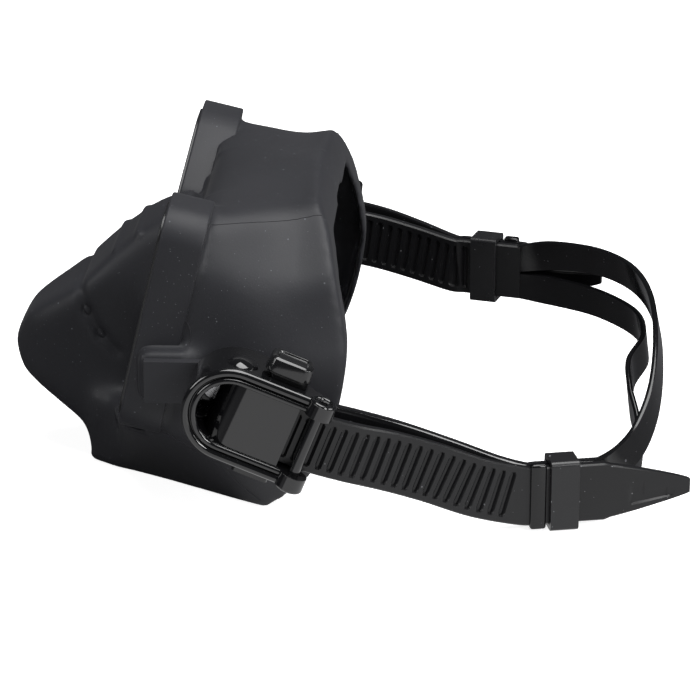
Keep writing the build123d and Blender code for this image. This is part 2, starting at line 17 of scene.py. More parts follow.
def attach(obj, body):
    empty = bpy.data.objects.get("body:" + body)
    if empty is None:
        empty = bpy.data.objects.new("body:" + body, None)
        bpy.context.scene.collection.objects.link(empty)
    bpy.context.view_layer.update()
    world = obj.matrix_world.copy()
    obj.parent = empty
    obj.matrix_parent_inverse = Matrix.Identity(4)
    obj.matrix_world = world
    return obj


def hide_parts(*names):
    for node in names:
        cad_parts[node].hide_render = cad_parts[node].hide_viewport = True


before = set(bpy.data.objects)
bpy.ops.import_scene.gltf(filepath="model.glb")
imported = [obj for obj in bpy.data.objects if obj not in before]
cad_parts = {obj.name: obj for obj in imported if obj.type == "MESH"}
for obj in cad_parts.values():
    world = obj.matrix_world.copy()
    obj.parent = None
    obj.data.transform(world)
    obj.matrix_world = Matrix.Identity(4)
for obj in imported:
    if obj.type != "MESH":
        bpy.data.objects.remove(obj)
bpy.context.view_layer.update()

MM = 0.001
UP = Vector((0.0, 0.0, 1.0))
LOG = logging.getLogger("diving_mask")


class Side(Enum):
    """The wearer's left (+X) and right (-X)."""

    LEFT = 1
    RIGHT = -1

    @property
    def word(self) -> str:
        """The word that ends this side's node names."""
        return self.name.lower()


class Layer(Enum):
    """The two runs of strap beside each other between buckle and keeper."""

    MAIN = -1
    TAIL = 1


# ---- shader groups ------------------------------------------------------------------------
def new_group(name: str, inputs: dict[str, float], outputs: list[str]) -> bpy.types.NodeTree:
    """Makes a shader group with number inputs and number outputs.

    Args:
        name: The group's name.
        inputs: Each input's name and default value.
        outputs: The outputs' names.

    Returns:
        The group, with its input and output nodes in place.
    """
    group = bpy.data.node_groups.new(name, "ShaderNodeTree")
    for label, value in inputs.items():
        socket = group.interface.new_socket(label, in_out="INPUT", socket_type="NodeSocketFloat")
        socket.default_value = value
    for label in outputs:
        group.interface.new_socket(label, in_out="OUTPUT", socket_type="NodeSocketFloat")
    group.nodes.new("NodeGroupInput")
    group.nodes.new("NodeGroupOutput")
    return group


def node(tree: bpy.types.NodeTree, kind: str, links: dict | None = None, **settings) -> bpy.types.Node:
    """Adds a node, sets it and links its inputs.

    Args:
        tree: The tree that gets the node.
        kind: The node's type.
        links: Input name or number, and the socket or value it gets.
        settings: Attributes of the node.

    Returns:
        The new node.
    """
    made = tree.nodes.new(kind)
    for key, value in settings.items():
        setattr(made, key, value)
    for key, value in (links or {}).items():
        if isinstance(value, bpy.types.NodeSocket):
            tree.links.new(value, made.inputs[key])
        else:
            made.inputs[key].default_value = value
    return made


def dust_group() -> bpy.types.NodeTree:
    """Fine specks scattered in three sizes over an object's own coordinates.

    Returns:
        A group that puts out a mask of the specks.
    """
    group = new_group("dust specks", {"Density": 900.0, "Size": 0.12, "Share": 0.5}, ["Mask"])
    start = next(n for n in group.nodes if n.type == "GROUP_INPUT")
    end = next(n for n in group.nodes if n.type == "GROUP_OUTPUT")
    place = node(group, "ShaderNodeTexCoord").outputs["Object"]
    total = None
    for step, factor in enumerate((1.0, 0.53, 2.1)):
        scale = node(group, "ShaderNodeMath", {0: start.outputs["Density"], 1: factor},
                     operation="MULTIPLY")
        cells = node(group, "ShaderNodeTexVoronoi", {"Vector": place, "Scale": scale.outputs[0]})
        shade = node(group, "ShaderNodeSeparateColor", {0: cells.outputs["Color"]})
        chosen = node(group, "ShaderNodeMath", {0: start.outputs["Share"], 1: shade.outputs[step]},
                      operation="GREATER_THAN")
        near = node(group, "ShaderNodeMath", {0: start.outputs["Size"], 1: cells.outputs["Distance"]},
                    operation="GREATER_THAN")
        speck = node(group, "ShaderNodeMath", {0: chosen.outputs[0], 1: near.outputs[0]},
                     operation="MULTIPLY")
        if total is None:
            total = speck
        else:
            total = node(group, "ShaderNodeMath", {0: total.outputs[0], 1: speck.outputs[0]},
                         operation="MAXIMUM")
    group.links.new(total.outputs[0], end.inputs["Mask"])
    return group


def grain_group() -> bpy.types.NodeTree:
    """The fine grain and slow waviness of a moulded surface.

    Returns:
        A group that puts out a height and a cloud of slow variation.
    """
    group = new_group("moulded grain", {"Grain": 1800.0, "Wave": 60.0, "Wave Share": 0.5},
                      ["Height", "Cloud"])
    start = next(n for n in group.nodes if n.type == "GROUP_INPUT")
    end = next(n for n in group.nodes if n.type == "GROUP_OUTPUT")
    place = node(group, "ShaderNodeTexCoord").outputs["Object"]
    fine = node(group, "ShaderNodeTexNoise",
                {"Vector": place, "Scale": start.outputs["Grain"], "Detail": 3.0})
    slow = node(group, "ShaderNodeTexNoise",
                {"Vector": place, "Scale": start.outputs["Wave"], "Detail": 2.0})
    share = node(group, "ShaderNodeMath", {0: slow.outputs["Fac"], 1: start.outputs["Wave Share"]},
                 operation="MULTIPLY")
    height = node(group, "ShaderNodeMath", {0: share.outputs[0], 1: fine.outputs["Fac"]},
                  operation="ADD")
    group.links.new(height.outputs[0], end.inputs["Height"])
    group.links.new(slow.outputs["Fac"], end.inputs["Cloud"])
    return group


@dataclass
class Effects:
    """The shader groups that the finishes share."""

    dust: bpy.types.NodeTree = field(default_factory=dust_group)
    grain: bpy.types.NodeTree = field(default_factory=grain_group)


@dataclass(frozen=True)
class Finish:
    """A moulded or machined surface: colour, gloss, grain and dust."""

    name: str
    colour: tuple[float, float, float]
    roughness: float
    spread: float = 0.08            # how far roughness varies
    metallic: float = 0.0
    specular: float = 0.5
    coat: float = 0.0
    sheen: float = 0.0
    bump: float = 0.1
    grain: float = 1800.0
    wave: float = 60.0
    wave_share: float = 0.5
    dust: float = 0.0               # share of the speck cells that show
    dust_density: float = 700.0
    dust_colour: tuple[float, float, float] = (0.30, 0.31, 0.33)
    transmission: float = 0.0
    bump_distance: float = 0.0001

    def material(self, effects: Effects) -> bpy.types.Material:
        """Builds the finish.

        Args:
            effects: The shared shader groups.

        Returns:
            The node material.
        """
        made = bpy.data.materials.new(self.name)
        made.use_nodes = True
        tree = made.node_tree
        shader = tree.nodes["Principled BSDF"]
        shader.inputs["Metallic"].default_value = self.metallic
        shader.inputs["Specular IOR Level"].default_value = self.specular
        shader.inputs["Coat Weight"].default_value = self.coat
        shader.inputs["Coat Roughness"].default_value = 0.04
        shader.inputs["Sheen Weight"].default_value = self.sheen
        shader.inputs["Sheen Roughness"].default_value = 0.5
        shader.inputs["Transmission Weight"].default_value = self.transmission
        grain = node(tree, "ShaderNodeGroup", node_tree=effects.grain)
        grain.inputs["Grain"].default_value = self.grain
        grain.inputs["Wave"].default_value = self.wave
        grain.inputs["Wave Share"].default_value = self.wave_share
        dust = node(tree, "ShaderNodeGroup", node_tree=effects.dust)
        dust.inputs["Density"].default_value = self.dust_density
        dust.inputs["Share"].default_value = self.dust
        light = [min(1.0, c * 1.35) for c in self.colour]
        cloud = node(tree, "ShaderNodeMix", {"Factor": grain.outputs["Cloud"]}, data_type="RGBA")
        cloud.inputs["A"].default_value = (*self.colour, 1.0)
        cloud.inputs["B"].default_value = (*light, 1.0)
        tint = node(tree, "ShaderNodeMix", {"Factor": dust.outputs["Mask"]}, data_type="RGBA")
        tree.links.new(cloud.outputs["Result"], tint.inputs["A"])
        tint.inputs["B"].default_value = (*self.dust_colour, 1.0)
        tree.links.new(tint.outputs["Result"], shader.inputs["Base Color"])
        rough = node(tree, "ShaderNodeMapRange", {"Value": grain.outputs["Cloud"]})
        rough.inputs["To Min"].default_value = self.roughness - self.spread / 2
        rough.inputs["To Max"].default_value = self.roughness + self.spread / 2
        dusty = node(tree, "ShaderNodeMath", {0: dust.outputs["Mask"], 1: rough.outputs["Result"]},
                     operation="MAXIMUM")
        tree.links.new(dusty.outputs[0], shader.inputs["Roughness"])
        bump = node(tree, "ShaderNodeBump", {"Height": grain.outputs["Height"]})
        bump.inputs["Strength"].default_value = self.bump
        bump.inputs["Distance"].default_value = self.bump_distance
        tree.links.new(bump.outputs["Normal"], shader.inputs["Normal"])
        return made


SKIRT_SILICONE = Finish("matte black silicone", (0.014, 0.0143, 0.0175), 0.55, specular=0.40,
                        sheen=0.04, bump=0.2, dust=0.10, dust_density=900.0,
                        dust_colour=(0.10, 0.105, 0.115))
GLOSS_SILICONE = Finish("glossy black silicone", (0.004, 0.004, 0.0045), 0.10, specular=0.5,
                        bump=0.10, wave=45.0, wave_share=0.8, dust=0.05, dust_density=520.0,
                        dust_colour=(0.10, 0.10, 0.11))
RIBBED_SILICONE = Finish("satin black silicone", (0.008, 0.008, 0.0088), 0.32, specular=0.42,
                         bump=0.2, dust=0.05, dust_density=520.0, dust_colour=(0.16, 0.16, 0.17))
GLOSS_PLASTIC = Finish("glossy black plastic", (0.004, 0.004, 0.0045), 0.07, spread=0.03,
                       specular=0.6, coat=0.5, bump=0.05, wave=40.0, wave_share=0.9)
SATIN_PLASTIC = Finish("satin black plastic", (0.017, 0.017, 0.018), 0.32, bump=0.15, grain=2600.0)
BUTTON_PLASTIC = Finish("button plastic", (0.006, 0.006, 0.0065), 0.14, spread=0.04, specular=0.6,
                        coat=0.3, bump=0.08)
KEEPER_RUBBER = Finish("keeper rubber", (0.012, 0.012, 0.013), 0.28, bump=0.25, dust=0.05,
                       dust_density=520.0)
STEEL = Finish("stainless steel", (0.55, 0.55, 0.56), 0.28, metallic=1.0, bump=0.1, grain=3000.0)
LENS_GLASS = Finish("tempered glass", (0.93, 0.96, 0.96), 0.02, spread=0.01, specular=0.5,
                    transmission=1.0, bump=0.0)


@dataclass
class Paints:
    """Every finish as a built material, by name."""

    effects: Effects = field(default_factory=Effects)
    built: dict[str, bpy.types.Material] = field(default_factory=dict)

    def of(self, finish: Finish) -> bpy.types.Material:
        """Returns the finish's material, built the first time."""
        if finish.name not in self.built:
            self.built[finish.name] = finish.material(self.effects)
        return self.built[finish.name]


# ---- mesh helpers -------------------------------------------------------------------------
def piece_from(bm: bmesh.types.BMesh, name: str, *materials: bpy.types.Material,
               sharp: float = 40.0) -> bpy.types.Object:
    """Turns a bmesh into a piece at the origin, shaded smooth up to an angle.

    Args:
        bm: The mesh, which is freed.
        name: The piece's name.
        materials: Its materials, in slot order.
        sharp: The angle in degrees from which an edge stays sharp.

    Returns:
        The new object.
    """
    mesh = bpy.data.meshes.new(name)
    bm.to_mesh(mesh)
    bm.free()
    mesh.polygons.foreach_set("use_smooth", [True] * len(mesh.polygons))
    mesh.set_sharp_from_angle(angle=math.radians(sharp))
    made = bpy.data.objects.new(name, mesh)
    bpy.context.scene.collection.objects.link(made)
    for paint in materials:
        mesh.materials.append(paint)
    return made


def skin(rings: list[list[Vector]], caps: bool = True) -> bmesh.types.BMesh:
    """Stretches a grid round rings of points, so that it makes a closed tube.

    Args:
        rings: Rings with the same number of points, in order along the piece.
        caps: Whether both ends are filled.

    Returns:
        The mesh.
    """
    bm = bmesh.new()
    long, around = len(rings) - 1, len(rings[0])
    bmesh.ops.create_grid(bm, x_segments=long, y_segments=around, size=1.0)
    for vert in bm.verts:
        i = round((vert.co.x + 1) / 2 * long)
        j = round((vert.co.y + 1) / 2 * around) % around
        vert.co = rings[i][j]
    bmesh.ops.remove_doubles(bm, verts=bm.verts, dist=1e-7)
    if caps:
        bmesh.ops.holes_fill(bm, edges=[e for e in bm.edges if e.is_boundary], sides=0)
    bmesh.ops.recalc_face_normals(bm, faces=bm.faces)
    return bm


def add_to(whole: bmesh.types.BMesh, part: bmesh.types.BMesh) -> None:
    """Adds one mesh to another and frees it.

    Args:
        whole: The mesh that grows.
        part: The mesh that is added.
    """
    mesh = bpy.data.meshes.new("part")
    part.to_mesh(mesh)
    part.free()
    whole.from_mesh(mesh)
    bpy.data.meshes.remove(mesh)


def merged_copy(name: str) -> bmesh.types.BMesh:
    """Copies a CAD node's triangles into one joined mesh with flat faces dissolved.

    Args:
        name: The node.

    Returns:
        The merged mesh.
    """
    bm = bmesh.new()
    bm.from_mesh(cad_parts[name].data)
    bmesh.ops.remove_doubles(bm, verts=bm.verts, dist=1e-6)
    bmesh.ops.dissolve_limit(bm, angle_limit=math.radians(1.0), verts=bm.verts, edges=bm.edges)
    return bm


def round_edges(bm: bmesh.types.BMesh, width: float, segments: int = 3, angle: float = 30.0) -> None:
    """Bevels every edge that turns by more than an angle.

    Args:
        bm: The mesh.
        width: How wide the bevel is.
        segments: How many faces it has.
        angle: The least turn in degrees.
    """
    limit = math.radians(angle)
    sharp = [e for e in bm.edges if len(e.link_faces) == 2 and e.calc_face_angle(0.0) > limit]
    bmesh.ops.bevel(bm, geom=sharp, offset=width, offset_type="OFFSET", segments=segments, profile=0.5,
                    affect="EDGES", material=-1, clamp_overlap=True)


def weigh_normals(piece: bpy.types.Object) -> None:
    """Keeps large flat faces flat where they meet rounded edges."""
    weighted = piece.modifiers.new("weighted normals", "WEIGHTED_NORMAL")
    weighted.keep_sharp = True


def rounded_node(name: str, paint: bpy.types.Material, body: str, width: float,
                 slot: str) -> bpy.types.Object:
    """Replaces a CAD node by a copy with rounded edges.

    Args:
        name: The node.
        paint: Its material.
        body: The body that it rides on.
        width: How wide the rounding is.
        slot: The record's material slot.

    Returns:
        The new piece.
    """
    bm = merged_copy(name)
    round_edges(bm, width)
    piece = piece_from(bm, f"{name}_moulding", paint)
    weigh_normals(piece)
    settle(piece, body, slot, name)
    return piece


def settle(piece: bpy.types.Object, body: str, slot: str, *replaced: str) -> None:
    """Puts a piece on its body and hides the nodes that it stands for.

    Args:
        piece: The piece.
        body: The body that it rides on.
        slot: The record's material slot; not used.
        replaced: The CAD nodes that it stands for.
    """
    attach(piece, body)
    if replaced:
        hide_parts(*replaced)
    LOG.info("%s: %d faces on %s", piece.name, len(piece.data.polygons), body)


def smooth_curve(points: list[Vector], step: float) -> list[Vector]:
    """A smooth curve through points, at even steps.

    Args:
        points: The points, in order.
        step: The wanted distance between the returned points.

    Returns:
        Points on the curve, first and last included.
    """
    dense = []
    for i in range(len(points) - 1):
        before, start, end = points[max(i - 1, 0)], points[i], points[i + 1]
        after = points[min(i + 2, len(points) - 1)]
        for k in range(40):
            t = k / 40
            dense.append(0.5 * ((2 * start) + (end - before) * t
                                + (2 * before - 5 * start + 4 * end - after) * t * t
                                + (3 * start - before - 3 * end + after) * t * t * t))
    dense.append(points[-1])
    lengths = [0.0]
    for a, b in zip(dense, dense[1:]):
        lengths.append(lengths[-1] + (b - a).length)
    count = max(2, round(lengths[-1] / step))
    evened, at = [], 0
    for k in range(count + 1):
        wanted = lengths[-1] * k / count
        while at < len(lengths) - 2 and lengths[at + 1] < wanted:
            at += 1
        span = max(lengths[at + 1] - lengths[at], 1e-12)
        evened.append(dense[at].lerp(dense[at + 1], min(1.0, (wanted - lengths[at]) / span)))
    return evened


def ease(value: float) -> float:
    """Smooth step from 0 to 1."""
    value = min(1.0, max(0.0, value))
    return value * value * (3 - 2 * value)


def mm_point(x: float, y: float, z: float) -> Vector:
    """A point given in millimetres."""
    return Vector((x, y, z)) * MM


# ---- where things are ---------------------------------------------------------------------
@dataclass(frozen=True)
class LensPlane:
    """The leaning plane that both lenses lie in."""

    foot: tuple[float, float] = (-62.0, 27.0)
    tilt: float = math.radians(13.4)
    corners: tuple = (              # across, up and corner radius
        (13.0, 45.0, 9.0), (39.0, 64.7, 14.0), (60.5, 64.7, 9.0), (60.5, 0.0, 10.0), (29.0, 0.0, 13.0))

    def at(self, x: float, height: float, depth: float) -> Vector:
        """A point in metres from millimetres across, up and in front of the plane.

        Args:
            x: Millimetres across, with +X on the left.
            height: Millimetres up the plane.
            depth: Millimetres in front of it.

        Returns:
            The point.
        """
        y = self.foot[0] + height * math.sin(self.tilt) - depth * math.cos(self.tilt)
        z = self.foot[1] + height * math.cos(self.tilt) + depth * math.sin(self.tilt)
        return mm_point(x, y, z)


@dataclass(frozen=True)
class BucklePlace:
    """One buckle's own axes: along it from the pivot, up it, and out from the mask's middle."""

    side: Side
    pivot: tuple[float, float] = (-33.0, 44.4)
    roller_along: float = 9.0       # the roller's centre, from the pivot
    roller_out: float = 77.7        # and from the mask's middle

    @property
    def dip(self) -> float:
        """How far the buckle points down towards the back."""
        return math.radians(22.0 if self.side is Side.LEFT else 5.3)

    def at(self, along: float, up: float, out: float) -> Vector:
        """A point in metres from millimetres in the buckle's axes.

        Args:
            along: Millimetres back from the pivot.
            up: Millimetres up the buckle.
            out: Millimetres out from the mask's middle.

        Returns:
            The point.
        """
        y = self.pivot[0] + along * math.cos(self.dip) + up * math.sin(self.dip)
        z = self.pivot[1] - along * math.sin(self.dip) + up * math.cos(self.dip)
        return mm_point(self.side.value * out, y, z)

    @property
    def up(self) -> Vector:
        """The direction up the buckle."""
        return Vector((0.0, math.sin(self.dip), math.cos(self.dip)))


@dataclass(frozen=True)
class KeeperPlace:
    """Where a keeper sits, and the directions along and out of the strap there."""

    side: Side

    @property
    def middle(self) -> Vector:
        """The keeper's centre."""
        return mm_point(58.0, 62.0, 10.5) if self.side is Side.LEFT else mm_point(-60.5, 39.3, 36.4)

    @property
    def turn(self) -> float:
        """How far the strap has turned in towards the back of the head."""
        return math.radians(13.0 if self.side is Side.LEFT else 16.0)

    @property
    def along(self) -> Vector:
        """The level direction of the strap, towards the back."""
        return Vector((-self.side.value * math.sin(self.turn), math.cos(self.turn), 0.0))

    @property
    def out(self) -> Vector:
        """The direction away from the head."""
        return Vector((self.side.value * math.cos(self.turn), math.sin(self.turn), 0.0))

    def at(self, layer: Layer, distance: float) -> Vector:
        """A point on one layer of the strap, so many millimetres on from the keeper."""
        return self.middle + self.out * (layer.value * 1.5 * MM) + self.along * (distance * MM)


@dataclass(frozen=True)
class Crease:
    """A soft groove in the skirt, or with a negative depth a ridge, seen from the side."""

    start: tuple[float, float]
    end: tuple[float, float]
    radius: float
    depth: float
    widest: float = 40.0

    def sink(self, place: Vector) -> float:
        """How far the surface sinks at a place, both in millimetres.

        Args:
            place: A place on the surface.

        Returns:
            The depth, which is negative on a ridge.
        """
        if abs(place.x) > self.widest:
            return 0.0
        here, first, last = Vector((place.y, place.z)), Vector(self.start), Vector(self.end)
        line = last - first
        share = min(1.0, max(0.0, (here - first).dot(line) / line.length_squared))
        away = (here - first - line * share).length / self.radius
        return self.depth * math.exp(-away * away)


@dataclass
class Skirt:
    """The silicone skirt: one moulding with two lens pods, a nose pocket and buckle arms."""

    paints: Paints
    plane: LensPlane = LensPlane()
    voxel: float = 0.95 * MM
    smooth_rounds: int = 7
    soft_rounds: int = 45
    proud: float = 1.0
    band_depth: float = 12.0
    creases: tuple[Crease, ...] = (
        Crease((-61.5, 70.5), (-59.5, 68.0), 1.3, -0.8, 14.0),
        Crease((-67.5, 65.0), (-65.5, 62.5), 1.3, -0.7, 14.0),
        Crease((-77.5, 54.5), (-75.0, 47.0), 1.5, 0.9),
        Crease((-75.0, 47.0), (-71.0, 40.0), 1.5, 0.9),
        Crease((-71.0, 40.0), (-66.5, 35.0), 1.5, 0.8),
    )
    lines: tuple = (
        ((57, -42, 80), (54, -39, 83), (51, -34, 85), (46, -20, 86), (41, -4, 86)),
        ((60, -56, 30), (60, -47, 20), (60, -38, 12), (56, -30, 5), (54, -24, 1)),
        ((62, -50, 62.5), (62, -45, 61.8), (62, -42.2, 60), (62, -41, 57), (62, -41.2, 53.5)),
        ((62, -55, 33), (62, -51, 30.4), (62, -48.4, 30.4), (62, -47.4, 32), (62, -47.4, 35)),
    )

    def build(self) -> None:
        """Builds the moulding, the crisp bands round the pods and the parting lines."""
        moulding = self.moulding()
        settle(moulding, "mask", "skirt_silicone", "skirt")
        surface = bmesh.new()
        surface.from_mesh(moulding.data)
        tree = BVHTree.FromBMesh(surface)
        surface.free()
        for side in Side:
            settle(self.pod_band(side), "mask", "skirt_silicone")
            settle(self.parting_lines(side, tree), "mask", "skirt_silicone")

    def moulding(self) -> bpy.types.Object:
        """Melts the CAD skirt into one soft surface and shapes its folds.

        Returns:
            The skirt.
        """
        bm = bmesh.new()
        bm.from_mesh(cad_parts["skirt"].data)
        bmesh.ops.remove_doubles(bm, verts=bm.verts, dist=1e-6)
        rough = piece_from(bm, "skirt_rough")
        melt = rough.modifiers.new("melt", "REMESH")
        melt.mode = "VOXEL"
        melt.voxel_size = self.voxel
        graph = bpy.context.evaluated_depsgraph_get()
        mesh = bpy.data.meshes.new_from_object(rough.evaluated_get(graph))
        bpy.data.objects.remove(rough)
        bm = bmesh.new()
        bm.from_mesh(mesh)
        bpy.data.meshes.remove(mesh)
        for _ in range(self.smooth_rounds):
            self.relax(bm, bm.verts)
        soft = [v for v in bm.verts if self.is_soft(v.co / MM)]
        for _ in range(self.soft_rounds):
            self.relax(bm, soft)
        bm.normal_update()
        for vert in bm.verts:
            place = vert.co / MM
            if place.y < -56 and place.z > 30:
                vert.co -= vert.normal * (sum(c.sink(place) for c in self.creases) * MM)
        low = min(v.co.z for v in bm.verts)
        for vert in bm.verts:
            vert.co.z -= low * ease(1 - vert.co.z / (8 * MM))
        return piece_from(bm, "skirt_moulding", self.paints.of(SKIRT_SILICONE), sharp=70.0)

    def relax(self, bm: bmesh.types.BMesh, verts: list) -> None:
        """Smooths some vertices once."""
        bmesh.ops.smooth_vert(bm, verts=verts, factor=0.5, use_axis_x=True, use_axis_y=True,
                              use_axis_z=True)

    def is_soft(self, place: Vector) -> bool:
        """Whether a place, in millimetres, is on the nose or the brow, which have no hard edge.

        Args:
            place: A place on the surface.

        Returns:
            True where the surface is smoothed further.
        """
        foot, height = self.plane.foot
        behind = place.y - (foot + (place.z - height) * math.tan(self.plane.tilt))
        nose = abs(place.x) < 30 and behind < 1 and place.z > 3
        brow = behind > 14 and place.z > 40 and place.y < -12
        bridge = abs(place.x) < 22 and place.z > 45 and place.y < -12
        return nose or brow or bridge

    def pod_band(self, side: Side) -> bpy.types.Object:
        """The raised band of silicone round one lens pod.

        Args:
            side: Which pod.

        Returns:
            The band.
        """
        bm = bmesh.new()
        corners = [bm.verts.new(Vector((side.value * x, v, 0.0)) * MM) for x, v, _ in self.plane.corners]
        bm.faces.new(corners)
        places = [Vector((x, v)) for x, v, _ in self.plane.corners]
        for i, corner in enumerate(corners):
            into = places[i] - places[i - 1]
            out = places[(i + 1) % len(places)] - places[i]
            reach = self.plane.corners[i][2] * math.tan(into.angle(out) / 2)
            bmesh.ops.bevel(bm, geom=[corner], offset=reach * MM, segments=10, profile=0.5,
                            affect="VERTICES", offset_type="OFFSET", material=-1)
        bmesh.ops.recalc_face_normals(bm, faces=bm.faces)
        middle = Vector((side.value * 40, 32, 0)) * MM
        for vert in bm.verts:
            away = (vert.co - middle).normalized()
            vert.co += away * (self.proud * MM)
        whole = list(bm.faces)
        rim = bmesh.ops.inset_region(bm, faces=whole, thickness=(2.0 + self.proud) * MM,
                                     use_even_offset=True, use_boundary=True)["faces"]
        bmesh.ops.delete(bm, geom=[f for f in bm.faces if f not in set(rim)], context="FACES")
        grown = bmesh.ops.extrude_face_region(bm, geom=list(bm.faces))["geom"]
        back = [g for g in grown if isinstance(g, bmesh.types.BMVert)]
        for vert in back:
            vert.co.z -= self.band_depth * MM
        bmesh.ops.recalc_face_normals(bm, faces=bm.faces)
        round_edges(bm, 0.55 * MM, segments=3, angle=50.0)
        for vert in bm.verts:
            local = vert.co / MM
            vert.co = self.plane.at(local.x, local.y, local.z)
        bmesh.ops.recalc_face_normals(bm, faces=bm.faces)
        return piece_from(bm, f"pod_band_{side.word}", self.paints.of(SKIRT_SILICONE), sharp=60.0)

    def parting_lines(self, side: Side, tree: BVHTree) -> bpy.types.Object:
        """The fine raised lines where the mould parts met, along one side wall.

        Args:
            side: Which side wall.
            tree: The skirt's surface.

        Returns:
            The lines as thin half-sunk beads.
        """
        both = bmesh.new()
        for route in self.lines:
            line = smooth_curve([mm_point(side.value * x, y, z) for x, y, z in route], 0.8 * MM)
            rings = []
            for i, place in enumerate(line):
                hit, normal, _, _ = tree.find_nearest(place)
                along = (line[min(i + 1, len(line) - 1)] - line[max(i - 1, 0)]).normalized()
                across = along.cross(normal).normalized()
                rings.append([hit + (across * math.cos(a) + normal * math.sin(a)) * 0.16 * MM
                              for a in (math.tau * k / 6 for k in range(6))])
            add_to(both, skin(rings))
        return piece_from(both, f"parting_lines_{side.word}", self.paints.of(SKIRT_SILICONE))


@dataclass
class LensSet:
    """One lens with its frame and retainer."""

    side: Side
    paints: Paints

    def build(self) -> None:
        """Rounds the frame and the retainer and gives the lens its glass."""
        word = self.side.word
        satin = self.paints.of(SATIN_PLASTIC)
        rounded_node(f"lens_frame_{word}", satin, "mask", 0.35 * MM, "frame_plastic")
        rounded_node(f"lens_retainer_{word}", satin, "mask", 0.25 * MM, "frame_plastic")
        repaint(f"lens_{word}", self.paints.of(LENS_GLASS))


def repaint(name: str, paint: bpy.types.Material) -> None:
    """Gives a CAD node that keeps its shape a better material.

    Args:
        name: The node.
        paint: Its material.
    """
    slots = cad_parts[name].data.materials
    if len(slots):
        for index in range(len(slots)):
            slots[index] = paint
    else:
        slots.append(paint)
    LOG.info("%s: CAD node, %s", name, paint.name)


